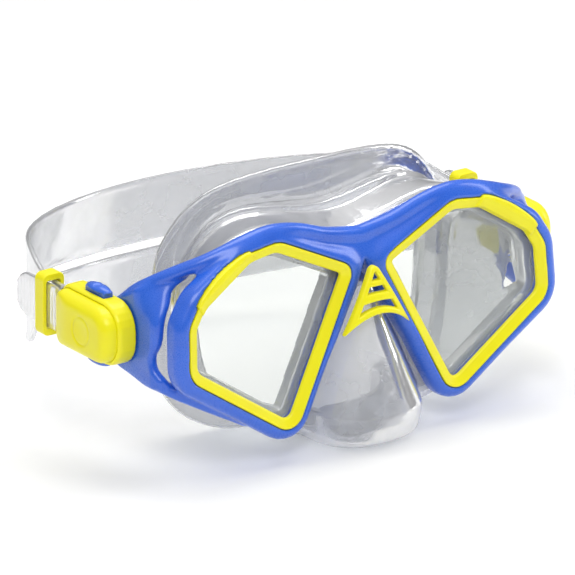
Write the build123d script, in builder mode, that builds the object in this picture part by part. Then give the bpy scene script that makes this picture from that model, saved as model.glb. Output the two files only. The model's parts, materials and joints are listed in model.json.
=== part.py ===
"""Two-lens snorkel mask with a swivelling ratchet buckle on each side and a split silicone strap.

Millimetres. +X is the wearer's left, the lenses face -Y and +Z is up. The origin is under the middle
of the whole mask, on the surface that it rests on. Drawing coordinates put y = 0 near the lens
plane; write() moves every piece by SHIFT_Y and SHIFT_Z into the part's own frame.
"""

import math
import os

from build123d import *

os.makedirs("parts", exist_ok=True)

# Driving dimensions
SHIFT_Y = -64.2  # from the drawing's front datum to the middle of the mask's length
SHIFT_Z = 2.5  # from the drawing's nose datum to the resting surface
LENS_TILT = 4.0  # degrees; the foot of the lens leans forward

BEZEL_WIDTH = 3.8
BEZEL_DEPTH = 3.0
LENS_THICKNESS = 3.4  # at the rim
LENS_STEP = 0.4  # from the rim up to the front face, inside the bezel
LENS_EDGE_UNDER_BEZEL = 2.2
LEDGE_INSET = 4.2  # the frame's ledge behind the rim of the lens
FRAME_DEPTH = 10.0
LEDGE_DEPTH = 1.5
PIECE_GAP = 0.1

LENS_BACK = -BEZEL_DEPTH - LENS_THICKNESS - PIECE_GAP
SEAL_BACK = -FRAME_DEPTH + LEDGE_DEPTH + PIECE_GAP
EYE_TUBE_INSET = LEDGE_INSET + 0.2
EYE_TUBE_WALL = 1.6

SKIRT_WALL = 2.2
SKIRT_END_Y = 48.0
FACE_Y = 37.5  # the forehead's middle
FACE_RADIUS = 229.0
FLANGE_THICKNESS = 2.4
RIB_FRONT = 7.0
RIB_WIDTH = 3.0
RIB_HEIGHT = 1.4
LIP_Y = 40.0
LIP_DEPTH = 25.0
LIP_HALF_WIDTH = 26.0
LIP_TOP = 11.0

PIVOT_Y = 30.0
PIVOT_RADIUS = 4.0
PLATE_INNER_X = 81.8
PLATE_OUTER_X = 86.0

BUCKLE_Y = 41.0
BUCKLE_Z = 49.0
BUCKLE_LENGTH = 37.0
BUCKLE_HEIGHT = 24.0
BUCKLE_INNER_X = 86.3  # faces the frame's plate
FLOOR_TOP_X = 89.1
RAIL_TOP_X = 96.0
RIM_TOP_X = 97.6
COVER_TOP_X = 99.0
CHANNEL_HEIGHT = 17.9

STRAP_THICKNESS = 1.6
STRAP_INNER_X = 90.2  # middle of the run that pulls on the mask
STRAP_OUTER_X = 95.1  # middle of the run that leads to the free tail
TAIL_X = 93.2  # middle of the tail where the keeper holds it
TAIL_END_Y = 87.0
TAIL_WIDTH = 17.4

ROLLER_Y = 29.0
ROLLER_RADIUS = 1.35
ROLLER_PIN_RADIUS = 0.6
RUNNING_GAP = 0.05

PAWL_Y = 48.0
PAWL_X = 88.2
PAWL_PIN_RADIUS = 0.45

BUTTON_Y = 41.0
BUTTON_X = 89.2
BUTTON_TRAVEL = 1.0
SPRING_Y = 38.0
SPRING_RADIUS = 0.75
SPRING_WIRE = 0.13

KEEPER_Y = 69.5
KEEPER_LENGTH = 5.5
KEEPER_HEIGHT = 23.5
KEEPER_INNER_X = 86.6
KEEPER_OUTER_X = 95.9
KEEPER_WALL = 1.6

LOOP_CENTRE_Y = 62.0
LOOP_REAR_Y = 144.5
BAND_WIDTH = 40.0
BAND_SLOT = 3.0

tilt = math.radians(LENS_TILT)
FRONT = Plane(
    origin=(0, -4, 0), x_dir=(1, 0, 0), z_dir=(0, -math.cos(tilt), math.sin(tilt))
)

BEZEL_CORNERS = [
    (5.6, 65.5),
    (38.1, 81.5),
    (52.0, 79.5),
    (73.0, 65.5),
    (78.0, 57.0),
    (78.8, 37.6),
    (34.5, 7.6),
]
BEZEL_RADII = [5, 11, 11, 10, 9, 9, 7]
SHOULDER_CORNERS = [(49.6, 77.0), (53.8, 82.8), (75.8, 68.1), (71.6, 62.3)]
SHOULDER_RISE = 0.8
SHOULDER_SEAT = 1.6


def write(name, piece):
    """Move one finished piece into the part's frame, label it and write its STEP file."""
    placed = piece.moved(Location((0, SHIFT_Y, SHIFT_Z)))
    placed.label = name
    export_step(placed, f"parts/{name}.step")


def write_pair(name, piece):
    """Write a piece made for the wearer's left side, and its mirror image for the right."""
    write(f"{name}_left", piece)
    write(f"{name}_right", mirror(piece, about=Plane.YZ))


def eye_prism(inset, front, back):
    """A prism of the lens opening's outline, moved in by inset, between two depths."""
    with BuildPart() as prism:
        with BuildSketch(FRONT.offset(back)):
            with BuildLine():
                FilletPolyline(*BEZEL_CORNERS, radius=BEZEL_RADII, close=True)
            make_face()
            if inset:
                offset(amount=-inset, kind=Kind.INTERSECTION, mode=Mode.REPLACE)
        extrude(amount=front - back)
    return prism.part


# Lenses: flat tempered glass with a thinner rim that the bezel laps over
with BuildPart() as lens:
    add(eye_prism(LENS_EDGE_UNDER_BEZEL, -BEZEL_DEPTH - PIECE_GAP, LENS_BACK))
    add(eye_prism(BEZEL_WIDTH + 2 * PIECE_GAP, -BEZEL_DEPTH - PIECE_GAP + LENS_STEP, LENS_BACK))
write_pair("lens", lens.part)


def shoulder_prism(grow, front, back):
    """A prism of the bezel's raised shoulder, along the outer top edge, grown by a gap."""
    with BuildPart() as prism:
        with BuildSketch(FRONT.offset(back)):
            with BuildLine():
                Polyline(*SHOULDER_CORNERS, close=True)
            make_face()
            if grow:
                offset(amount=grow, kind=Kind.INTERSECTION, mode=Mode.REPLACE)
        extrude(amount=front - back)
    return prism.part


# Bezels: yellow rings over the lens edges, with a raised shoulder along the outer top edge
with BuildPart() as bezel:
    add(eye_prism(PIECE_GAP, 0, -BEZEL_DEPTH))
    add(eye_prism(BEZEL_WIDTH, 1, -BEZEL_DEPTH - 1), mode=Mode.SUBTRACT)
    fillet(bezel.faces().sort_by(Axis.Y)[0].edges(), 0.8)
    add(shoulder_prism(0, SHOULDER_RISE, -SHOULDER_SEAT))
    add(eye_prism(BEZEL_WIDTH - 0.7, SHOULDER_RISE, 0), mode=Mode.SUBTRACT)
write_pair("bezel", bezel.part)

# Frame: brow, two lens pods, Y-shaped side arms and the buckle plates
with BuildPart() as frame:
    with BuildSketch(FRONT.offset(-FRAME_DEPTH)):
        with BuildLine():
            brow = Spline(
                (0, 79.6), (20, 84.6), (38, 88.4), (60, 83.6), tangents=[(1, 0), (0.85, -0.53)]
            )
            side = FilletPolyline(
                (60, 83.6),
                (80.5, 67.5),
                (84.8, 57),
                (84.4, 36.5),
                (38, 2.6),
                (31.2, 7.2),
                (15.2, 38.6),
                (0, 66.5),
                radius=[12, 12, 14, 7, 6, 60],
            )
            Line((0, 66.5), (0, 79.6))
        make_face()
    extrude(amount=FRAME_DEPTH)
    front_edges = frame.faces().sort_by(Axis.Y)[0].edges()
    fillet(front_edges.filter_by(lambda edge: abs(edge.center().X) > 0.01), 2.2)


def side_arm(sections):
    """A loft through rectangles that stand across the wearer's line of sight."""
    with BuildPart() as arm:
        for y, x, z, width, height, turn in sections:
            with BuildSketch(Plane.XZ.offset(-y)):
                with Locations(Location((x, z, 0), (0, 0, turn))):
                    RectangleRounded(width, height, 1.5)
        loft()
    return arm.part


UPPER_ARM = [(1.5, 66, 76.5, 22, 7, -40), (13, 79.5, 68, 5.5, 14, 12), (26, 83.8, 55.5, 3.4, 9, 0)]
LOWER_ARM = [(1.5, 66, 25, 24, 7, 36), (13, 79.5, 32, 5.5, 11, -12), (26, 83.8, 40, 3.4, 9, 0)]

with BuildPart() as plate:
    with BuildSketch(Plane.YZ.offset(PLATE_INNER_X)):
        with Locations((26, 47.6)):
            RectangleRounded(24, 25, 5)
    extrude(amount=PLATE_OUTER_X - PLATE_INNER_X)
    fillet(plate.faces().sort_by(Axis.X)[-1].edges(), 1)

with BuildPart() as frame_half:
    add(frame.part)
    add(side_arm(UPPER_ARM))
    add(side_arm(LOWER_ARM))
    add(plate.part)
    add(eye_prism(0, 1, -BEZEL_DEPTH - PIECE_GAP), mode=Mode.SUBTRACT)
    add(
        eye_prism(LENS_EDGE_UNDER_BEZEL - PIECE_GAP, 0, -FRAME_DEPTH + LEDGE_DEPTH),
        mode=Mode.SUBTRACT,
    )
    add(eye_prism(LEDGE_INSET, 0, -FRAME_DEPTH - 1), mode=Mode.SUBTRACT)
    add(shoulder_prism(PIECE_GAP, 3, -SHOULDER_SEAT - PIECE_GAP), mode=Mode.SUBTRACT)
    with Locations(Location((PLATE_INNER_X, PIVOT_Y, BUCKLE_Z), (0, 90, 0))):
        Cylinder(PIVOT_RADIUS + 0.05, 20, mode=Mode.SUBTRACT)

with BuildPart() as whole_frame:
    add(frame_half.part)
    mirror(about=Plane.YZ)
write("frame", whole_frame.part)
print("frame", whole_frame.part.volume, len(whole_frame.part.solids()))

# Nose grille: an A-shaped yellow piece that bulges forward over the nose ridge, with three openings
GRILLE_RADIUS = 29.0
GRILLE_THICKNESS = 2.6
ridge = Vector(0, -4.6, -18.5).normalized()


def grille_arch(height, half_width, rise, thickness):
    """A curved bar of the grille, drawn in the front view."""
    with BuildSketch(Plane.XZ) as bar:
        with BuildLine():
            ThreePointArc(
                (-half_width, height - rise), (0, height), (half_width, height - rise)
            )
            Line((half_width, height - rise), (half_width, height - rise - thickness))
            ThreePointArc(
                (half_width, height - rise - thickness),
                (0, height - thickness),
                (-half_width, height - rise - thickness),
            )
            Line((-half_width, height - rise - thickness), (-half_width, height - rise))
        make_face()
    return bar.sketch


with BuildPart() as grille_front:
    with BuildSketch(Plane.XZ):
        with BuildLine():
            Polyline((0, 66.2), (15.1, 38.7), (11.0, 38.2))
            ThreePointArc((11.0, 38.2), (0, 46.6), (-11.0, 38.2))
            Polyline((-11.0, 38.2), (-15.1, 38.7), (0, 66.2))
        make_face()
        with BuildLine():
            Polyline((0, 61.5), (11.6, 39.9), (8, 35), (-8, 35), (-11.6, 39.9), (0, 61.5))
        make_face(mode=Mode.SUBTRACT)
    extrude(amount=20, both=True)

with BuildPart() as grille_bars:
    for top, half, rise, thick in ((58.2, 3.6, 0.6, 1.9), (53.4, 7.0, 2.6, 2.0), (48.6, 11.4, 8.4, 2.0)):
        with BuildSketch(Plane.XZ):
            add(grille_arch(top, half, rise, thick))
        extrude(amount=20, both=True)

with BuildPart() as grille_shape:
    add(grille_front.part)
    add(grille_bars.part)

with BuildPart() as nose_grille:
    with BuildSketch(Plane(origin=(0, -2.6, 67), x_dir=(1, 0, 0), z_dir=ridge)):
        with Locations((0, -GRILLE_RADIUS)):
            Circle(GRILLE_RADIUS)
            Circle(GRILLE_RADIUS - GRILLE_THICKNESS, mode=Mode.SUBTRACT)
    extrude(amount=40)
    add(grille_shape.part, mode=Mode.INTERSECT)
write("nose_grille", nose_grille.part)
print("nose_grille", nose_grille.part.volume, len(nose_grille.part.solids()))


# Skirt: a soft silicone body with two eye openings, a nose pocket and a wide face flange
FRONT_WALL = [(0, 74), (38, 83.5), (64, 74), (78, 52), (66, 24), (36, 6), (0, 4)]
REAR_WALL = [(0, 83.5), (36, 81), (51, 66), (53.5, 44), (49, 18), (33, 3), (0, 2)]
FLANGE_EDGE = [(0, 93.5), (41, 89), (60, 71), (63, 46), (59, 14), (36, -2.5), (0, -2.5)]
SECTION_MIDDLE = Vector(0, 45)
SKIRT_FRONT = FRONT.offset(-FRAME_DEPTH - 0.3)


def inward(points, wall):
    """Half a section's points, each moved towards the middle by one wall."""
    moved = []
    for x, z in points:
        reach = Vector(x, z) - SECTION_MIDDLE
        shorter = SECTION_MIDDLE + reach * (1 - wall / reach.length)
        moved.append((shorter.X, shorter.Y))
    return moved


def closed_curve(points):
    """A smooth closed outline through half a list of points and its mirror image."""
    other_half = [(-x, z) for x, z in reversed(points) if x > 0.01]
    with BuildSketch() as section:
        with BuildLine():
            Spline(*points, *other_half, periodic=True)
        make_face()
    return section.sketch


def skirt_tube(wall, front_plane):
    """The skirt's tapering body from one plane to behind the face, moved in by the wall."""
    with BuildPart() as tube:
        with BuildSketch(front_plane):
            add(closed_curve(inward(FRONT_WALL, wall)))
        with BuildSketch(Plane.XZ.offset(-SKIRT_END_Y)):
            add(closed_curve(inward(REAR_WALL, wall)))
        loft()
    return tube.part


def face_slab(front, back):
    """The space between two depths in front of the wearer's face, which curves round the head."""
    with BuildPart() as slab:
        with BuildSketch(Plane.XY.offset(-20)):
            with Locations((0, FACE_Y + FACE_RADIUS)):
                Circle(FACE_RADIUS + front)
                if back is not None:
                    Circle(FACE_RADIUS + back, mode=Mode.SUBTRACT)
        extrude(amount=140)
    return slab.part


NOSE_SECTIONS = [  # height, then front, half front width and half rear width
    (-2.5, -9.5, 8.0, 20.0),
    (3.0, -14.0, 9.0, 22.5),
    (12.0, -16.0, 8.5, 22.5),
    (30.0, -10.0, 6.0, 15.0),
    (47.0, -3.6, 3.6, 7.0),
    (56.0, 0.0, 2.0, 4.0),
]


def nose_pocket(wall):
    """The nose pocket: a wedge-shaped bulb that leans forward, moved in by the wall."""
    with BuildPart() as pocket:
        for height, front, half_front, half_rear in NOSE_SECTIONS:
            with BuildSketch(Plane.XY.offset(height + wall * (1 if height < 0 else 0))):
                half = [
                    (0, front + wall),
                    (half_front - wall * 0.6, front + 1.5 + wall),
                    (half_rear - wall, 7.0),
                    (half_rear - wall, 14.0 + wall),
                    (0, 16.5 + wall),
                ]
                add(closed_curve(half))
        loft()
    return pocket.part


with BuildPart() as flange:
    with BuildSketch(Plane.XZ.offset(-SKIRT_END_Y)):
        add(closed_curve(FLANGE_EDGE))
        add(closed_curve(inward(REAR_WALL, 6)), mode=Mode.SUBTRACT)
    extrude(amount=30)
    add(face_slab(FLANGE_THICKNESS, 0), mode=Mode.INTERSECT)

with BuildPart() as rib:
    add(skirt_tube(-RIB_HEIGHT, SKIRT_FRONT))
    add(skirt_tube(SKIRT_WALL / 2, FRONT.offset(-FRAME_DEPTH)), mode=Mode.SUBTRACT)
    add(face_slab(RIB_FRONT, RIB_FRONT - RIB_WIDTH), mode=Mode.INTERSECT)

with BuildPart() as skirt:
    add(skirt_tube(0, SKIRT_FRONT))
    add(nose_pocket(0))
    add(skirt_tube(SKIRT_WALL, SKIRT_FRONT.offset(-SKIRT_WALL)), mode=Mode.SUBTRACT)
    add(nose_pocket(SKIRT_WALL), mode=Mode.SUBTRACT)
    add(face_slab(0, None), mode=Mode.SUBTRACT)
    add(flange.part)
    add(rib.part)
    with BuildSketch(Plane.XY.offset(-2.5)):
        with Locations((0, LIP_Y)):
            Ellipse(LIP_HALF_WIDTH + SKIRT_WALL, LIP_DEPTH + SKIRT_WALL)
        with Locations((0, LIP_Y + 30)):
            Rectangle(100, 60 - SKIRT_WALL * 2, mode=Mode.SUBTRACT)
    extrude(amount=LIP_TOP)
    with BuildSketch(Plane.XY.offset(-10)):
        with Locations((0, LIP_Y)):
            Ellipse(LIP_HALF_WIDTH, LIP_DEPTH)
        with Locations((0, LIP_Y + 30)):
            Rectangle(2 * LIP_HALF_WIDTH, 60)
    extrude(amount=LIP_TOP + 10, mode=Mode.SUBTRACT)
    for side in (1, -1):
        eye = eye_prism(EYE_TUBE_INSET, LENS_BACK - PIECE_GAP, -FRAME_DEPTH - 2)
        seal = eye_prism(LENS_EDGE_UNDER_BEZEL + PIECE_GAP, LENS_BACK - PIECE_GAP, SEAL_BACK)
        hole = eye_prism(EYE_TUBE_INSET + EYE_TUBE_WALL, 0, -FRAME_DEPTH - 6)
        for solid, mode in ((eye, Mode.ADD), (seal, Mode.ADD), (hole, Mode.SUBTRACT)):
            add(solid if side > 0 else mirror(solid, about=Plane.YZ, mode=Mode.PRIVATE), mode=mode)
    split(bisect_by=Plane.XY.offset(-SHIFT_Z), keep=Keep.TOP)
write("skirt", skirt.part)
print("skirt", skirt.part.volume, len(skirt.part.solids()), skirt.part.bounding_box())


# Buckle base: floor against the frame's plate, two rails, and a raised rim round the front
def buckle_outline(inset):
    """The buckle's long rounded outline, seen from the side, moved in by inset."""
    with BuildSketch() as outline:
        with Locations((BUCKLE_Y, BUCKLE_Z)):
            RectangleRounded(
                BUCKLE_LENGTH - 2 * inset, BUCKLE_HEIGHT - 2 * inset, BUCKLE_HEIGHT / 2 - inset - 0.5
            )
    return outline.sketch


def buckle_box(x, y, z):
    """A block between pairs of limits, with z measured from the buckle's middle line."""
    with BuildPart() as block:
        with Locations(((x[0] + x[1]) / 2, (y[0] + y[1]) / 2, BUCKLE_Z + (z[0] + z[1]) / 2)):
            Box(x[1] - x[0], y[1] - y[0], z[1] - z[0])
    return block.part


def upright(x, y, radius, half_length):
    """A round bar parallel to +Z, centred on the buckle's middle line."""
    with BuildPart() as bar:
        with Locations((x, y, BUCKLE_Z)):
            Cylinder(radius, 2 * half_length)
    return bar.part


def cross_bar(y, radius, inner_x, outer_x):
    """A round bar parallel to +X on the buckle's middle line."""
    with BuildPart() as bar:
        with BuildSketch(Plane.YZ.offset(inner_x)):
            with Locations((y, BUCKLE_Z)):
                Circle(radius)
        extrude(amount=outer_x - inner_x)
    return bar.part


HALF_CHANNEL = CHANNEL_HEIGHT / 2
HALF_HEIGHT = BUCKLE_HEIGHT / 2
FRONT_Y = BUCKLE_Y - BUCKLE_LENGTH / 2
REAR_Y = BUCKLE_Y + BUCKLE_LENGTH / 2
ROLLER_X = (STRAP_INNER_X + STRAP_OUTER_X) / 2
PIN_HALF_LENGTH = HALF_CHANNEL + 1.9
PEG_RADIUS = 0.6
PEG_PLACES = [(33.0, 9.55), (33.0, -9.55), (52.0, 9.55), (52.0, -9.55)]

with BuildPart() as buckle_base:
    with BuildSketch(Plane.YZ.offset(BUCKLE_INNER_X)):
        add(buckle_outline(0))
    extrude(amount=RAIL_TOP_X - BUCKLE_INNER_X)
    chamfer(buckle_base.faces().sort_by(Axis.X)[0].edges(), 0.8)
    with BuildSketch(Plane.YZ.offset(RAIL_TOP_X)):
        add(buckle_outline(0))
        add(buckle_outline(1.4), mode=Mode.SUBTRACT)
        with Locations((REAR_Y, BUCKLE_Z)):
            Rectangle(20, BUCKLE_HEIGHT, mode=Mode.SUBTRACT)
    extrude(amount=RIM_TOP_X - RAIL_TOP_X)
    channel = buckle_box(
        (FLOOR_TOP_X, RIM_TOP_X + 1), (FRONT_Y + 2.6, REAR_Y + 5), (-HALF_CHANNEL, HALF_CHANNEL)
    )
    add(channel, mode=Mode.SUBTRACT)
    pawl_window = buckle_box((BUCKLE_INNER_X - 1, FLOOR_TOP_X + 1), (36.8, 50.2), (-7.2, 7.2))
    add(pawl_window, mode=Mode.SUBTRACT)
    add(upright(ROLLER_X, ROLLER_Y, ROLLER_PIN_RADIUS + 0.01, PIN_HALF_LENGTH), mode=Mode.SUBTRACT)
    add(upright(PAWL_X, PAWL_Y, PAWL_PIN_RADIUS + 0.01, PIN_HALF_LENGTH), mode=Mode.SUBTRACT)
    add(cross_bar(PIVOT_Y, PIVOT_RADIUS + 0.01, BUCKLE_INNER_X - 1, FLOOR_TOP_X), mode=Mode.SUBTRACT)
    add(cross_bar(PIVOT_Y, PIVOT_RADIUS + 1.51, FLOOR_TOP_X - 1.2, FLOOR_TOP_X), mode=Mode.SUBTRACT)
    for side in (1, -1):
        slot = sorted((side * 9.6, side * (HALF_HEIGHT + 3)))
        add(
            buckle_box((BUTTON_X - 2.05, BUTTON_X + 2.05), (BUTTON_Y - 6.05, BUTTON_Y + 6.05), slot),
            mode=Mode.SUBTRACT,
        )
        stem_way = sorted((side * 6.0, side * 10.0))
        add(buckle_box((87.25, 89.1), (42.85, 47.05), stem_way), mode=Mode.SUBTRACT)
    with BuildSketch(Plane.YZ.offset(RAIL_TOP_X)):
        with Locations(*[(y, BUCKLE_Z + z) for y, z in PEG_PLACES]):
            Circle(PEG_RADIUS + PIECE_GAP)
    extrude(amount=-2.6, mode=Mode.SUBTRACT)
write_pair("buckle_base", buckle_base.part)

# Buckle cover: a domed thumb pad with a shallow dish, on four pegs
COVER_INSET = 1.8
with BuildPart() as buckle_cover:
    with BuildSketch(Plane.YZ.offset(RAIL_TOP_X + PIECE_GAP)):
        add(buckle_outline(COVER_INSET))
        with Locations((REAR_Y - 9, BUCKLE_Z)):
            RectangleRounded(20, BUCKLE_HEIGHT - 2 * COVER_INSET, 6)
    extrude(amount=COVER_TOP_X - RAIL_TOP_X - PIECE_GAP)
    fillet(buckle_cover.faces().sort_by(Axis.X)[-1].edges(), 1.6)
    dish_radius = 60.0
    with Locations((COVER_TOP_X + dish_radius - 0.5, BUCKLE_Y - 2, BUCKLE_Z)):
        Sphere(dish_radius, mode=Mode.SUBTRACT)
    with BuildSketch(Plane.YZ.offset(RAIL_TOP_X + PIECE_GAP)):
        with Locations(*[(y, BUCKLE_Z + z) for y, z in PEG_PLACES]):
            Circle(PEG_RADIUS)
    extrude(amount=-2.2)
write_pair("buckle_cover", buckle_cover.part)

# Pivot pin and its clip: the buckle swivels in the hole of the frame's plate
with BuildPart() as pivot_pin:
    add(cross_bar(PIVOT_Y, PIVOT_RADIUS, PLATE_INNER_X - 2.2, FLOOR_TOP_X - 0.05))
    add(cross_bar(PIVOT_Y, PIVOT_RADIUS + 1.5, FLOOR_TOP_X - 1.19, FLOOR_TOP_X - 0.05))
    with BuildSketch(Plane.YZ.offset(PLATE_INNER_X - 1.4)):
        with Locations((PIVOT_Y, BUCKLE_Z)):
            Circle(PIVOT_RADIUS + 1)
            Circle(PIVOT_RADIUS - 0.8, mode=Mode.SUBTRACT)
    extrude(amount=1.1, mode=Mode.SUBTRACT)
write_pair("pivot_pin", pivot_pin.part)

with BuildPart() as pivot_clip:
    with BuildSketch(Plane.YZ.offset(PLATE_INNER_X - 1.35)):
        with Locations((PIVOT_Y, BUCKLE_Z)):
            Circle(PIVOT_RADIUS + 1.8)
            Circle(PIVOT_RADIUS - 0.75, mode=Mode.SUBTRACT)
        with Locations((PIVOT_Y + PIVOT_RADIUS, BUCKLE_Z)):
            Rectangle(2 * PIVOT_RADIUS, 5.6, mode=Mode.SUBTRACT)
    extrude(amount=1.0)
write_pair("pivot_clip", pivot_clip.part)

# Strap roller and its pin
with BuildPart() as strap_roller:
    add(upright(ROLLER_X, ROLLER_Y, ROLLER_RADIUS, HALF_CHANNEL - 0.3))
    add(
        upright(ROLLER_X, ROLLER_Y, ROLLER_PIN_RADIUS + RUNNING_GAP, HALF_CHANNEL),
        mode=Mode.SUBTRACT,
    )
write_pair("strap_roller", strap_roller.part)
write_pair("roller_pin", upright(ROLLER_X, ROLLER_Y, ROLLER_PIN_RADIUS, PIN_HALF_LENGTH - 0.1))

# Pawl: a toothed flap that holds the strap's ribs, on its own pin
with BuildPart() as pawl:
    add(buckle_box((PAWL_X - 0.7, PAWL_X + 0.6), (38.0, PAWL_Y), (-6.6, 6.6)))
    add(upright(PAWL_X, PAWL_Y, 0.95, 6.6))
    with BuildSketch(Plane.XY.offset(BUCKLE_Z - 6.0)):
        for tooth_y in (38.2, 39.6, 41.0):
            with BuildLine():
                Polyline(
                    (PAWL_X + 0.55, tooth_y),
                    (PAWL_X + 0.9, tooth_y + 0.2),
                    (PAWL_X + 0.55, tooth_y + 1.2),
                    close=True,
                )
            make_face()
    extrude(amount=12.0)
    for side in (1, -1):
        notch = sorted((side * 5.2, side * 8.0))
        add(buckle_box((86, 90), (42.4, 46.95), notch), mode=Mode.SUBTRACT)
    add(upright(PAWL_X, PAWL_Y, PAWL_PIN_RADIUS + RUNNING_GAP, 8), mode=Mode.SUBTRACT)
write_pair("pawl", pawl.part)
write_pair("pawl_pin", upright(PAWL_X, PAWL_Y, PAWL_PIN_RADIUS, PIN_HALF_LENGTH - 0.1))

# Release buttons and their springs, above and below
for side, place in ((1, "top"), (-1, "bottom")):
    with BuildPart() as button:
        with BuildSketch(Plane.XZ.offset(-BUTTON_Y)):
            with Locations((BUTTON_X, BUCKLE_Z + side * 11.55)):
                Rectangle(4.0, 1.7)
        extrude(amount=6.0, both=True)
        with BuildSketch(Plane.XY.offset(BUCKLE_Z + side * 12.4)):
            with Locations((BUTTON_X, BUTTON_Y)):
                RectangleRounded(4.0, 12.0, 1.6)
        extrude(amount=side * 1.4)
        crown = button.faces().sort_by(Axis.Z)[-1 if side > 0 else 0]
        fillet(crown.edges(), 1.0)
        stem = sorted((side * 6.9, side * 10.9))
        add(buckle_box((87.4, 88.95), (43.0, 46.9), stem))
        with BuildSketch(Plane.XY.offset(BUCKLE_Z + side * 10.7)):
            with Locations((BUTTON_X, SPRING_Y)):
                Circle(SPRING_RADIUS + SPRING_WIRE + 0.15)
        extrude(amount=side * 1.6, mode=Mode.SUBTRACT)
    write_pair(f"release_button_{place}", button.part)
    spring_foot = side * 9.6
    spring_length = 2.5 - 4 * SPRING_WIRE
    with BuildPart() as spring:
        with BuildLine():
            coil = Helix(
                pitch=spring_length / 4, height=spring_length, radius=SPRING_RADIUS,
                center=(BUTTON_X, SPRING_Y, BUCKLE_Z + min(spring_foot, spring_foot + side * 2.5)
                        + 2 * SPRING_WIRE),
            )
        with BuildSketch(Plane(coil @ 0, z_dir=coil % 0)):
            Circle(SPRING_WIRE)
        sweep()
    write_pair(f"button_spring_{place}", spring.part)

# Strap keeper: a rounded loop round both runs of the strap
with BuildPart() as strap_keeper:
    keeper_x = (KEEPER_INNER_X + KEEPER_OUTER_X) / 2
    keeper_depth = KEEPER_OUTER_X - KEEPER_INNER_X
    with BuildSketch(Plane.XZ.offset(-KEEPER_Y)):
        with Locations((keeper_x, BUCKLE_Z)):
            RectangleRounded(keeper_depth, KEEPER_HEIGHT, 2.6)
            RectangleRounded(
                keeper_depth - 2 * KEEPER_WALL, KEEPER_HEIGHT - 5.2, 1.0, mode=Mode.SUBTRACT
            )
    extrude(amount=KEEPER_LENGTH / 2, both=True)
    ends = strap_keeper.faces().filter_by(Axis.Y)
    fillet(ends.edges(), 0.45)
write_pair("strap_keeper", strap_keeper.part)

# Strap: a ribbed tail through each buckle, and a head band that widens and splits in two
with BuildPart() as band_profile:
    with BuildSketch(Plane.YZ.offset(-110)):
        with BuildLine():
            FilletPolyline(
                (LOOP_CENTRE_Y - 5, BUCKLE_Z + TAIL_WIDTH / 2),
                (78, BUCKLE_Z + TAIL_WIDTH / 2),
                (92, 65.0),
                (150, 47.0),
                (150, 6.5),
                (92, 25.0),
                (78, BUCKLE_Z - TAIL_WIDTH / 2),
                (LOOP_CENTRE_Y - 5, BUCKLE_Z - TAIL_WIDTH / 2),
                radius=[1, 16, 12, 1, 1, 12, 16, 1],
                close=True,
            )
        make_face()
        with BuildLine():
            FilletPolyline(
                (84, 48.3),
                (92, 46.6),
                (160, 25.2),
                (160, 22.2),
                (92, 43.6),
                (84, 46.2),
                radius=[0.6, 12, 1, 1, 12, 0.6],
                close=True,
            )
        make_face(mode=Mode.SUBTRACT)
    extrude(amount=220)

with BuildPart() as band:
    with BuildSketch(Plane.XY.offset(-20)):
        with BuildLine():
            half_loop = []
            for side in (1, -1):
                reach_x = STRAP_INNER_X + side * STRAP_THICKNESS / 2
                reach_y = LOOP_REAR_Y - LOOP_CENTRE_Y - (1 - side) * STRAP_THICKNESS / 2
                half_loop.append(EllipticalCenterArc((0, LOOP_CENTRE_Y), reach_x, reach_y, 0, arc_size=180))
            Line(half_loop[0] @ 0, half_loop[1] @ 0)
            Line(half_loop[0] @ 1, half_loop[1] @ 1)
        make_face()
    extrude(amount=120)
    add(band_profile.part, mode=Mode.INTERSECT)

WRAP_RADIUS = (STRAP_OUTER_X - STRAP_INNER_X) / 2
with BuildPart() as tail:
    with BuildSketch(Plane.XY.offset(BUCKLE_Z - TAIL_WIDTH / 2)):
        with BuildLine():
            Line((STRAP_INNER_X, LOOP_CENTRE_Y), (STRAP_INNER_X, ROLLER_Y))
            ThreePointArc(
                (STRAP_INNER_X, ROLLER_Y),
                (ROLLER_X, ROLLER_Y - WRAP_RADIUS),
                (STRAP_OUTER_X, ROLLER_Y),
            )
            Line((STRAP_OUTER_X, ROLLER_Y), (STRAP_OUTER_X, 55))
            Spline(
                (STRAP_OUTER_X, 55), (TAIL_X, 64.5), tangents=[(0, 1), (0, 1)], tangent_scalars=[1, 1]
            )
            Line((TAIL_X, 64.5), (TAIL_X, TAIL_END_Y))
        trace(line_width=STRAP_THICKNESS)
    extrude(amount=TAIL_WIDTH)
    corners = tail.edges().filter_by(Axis.X).group_by(Axis.Y)[-1]
    fillet(corners, 5)

with BuildPart() as strap:
    add(band.part)
    add(tail.part)
    add(mirror(tail.part, about=Plane.YZ, mode=Mode.PRIVATE))
write("strap", strap.part)
print("strap", strap.part.volume, len(strap.part.solids()), strap.part.bounding_box())
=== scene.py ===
"""The snorkel mask's looks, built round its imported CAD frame."""

import functools
import json
import math

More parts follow.
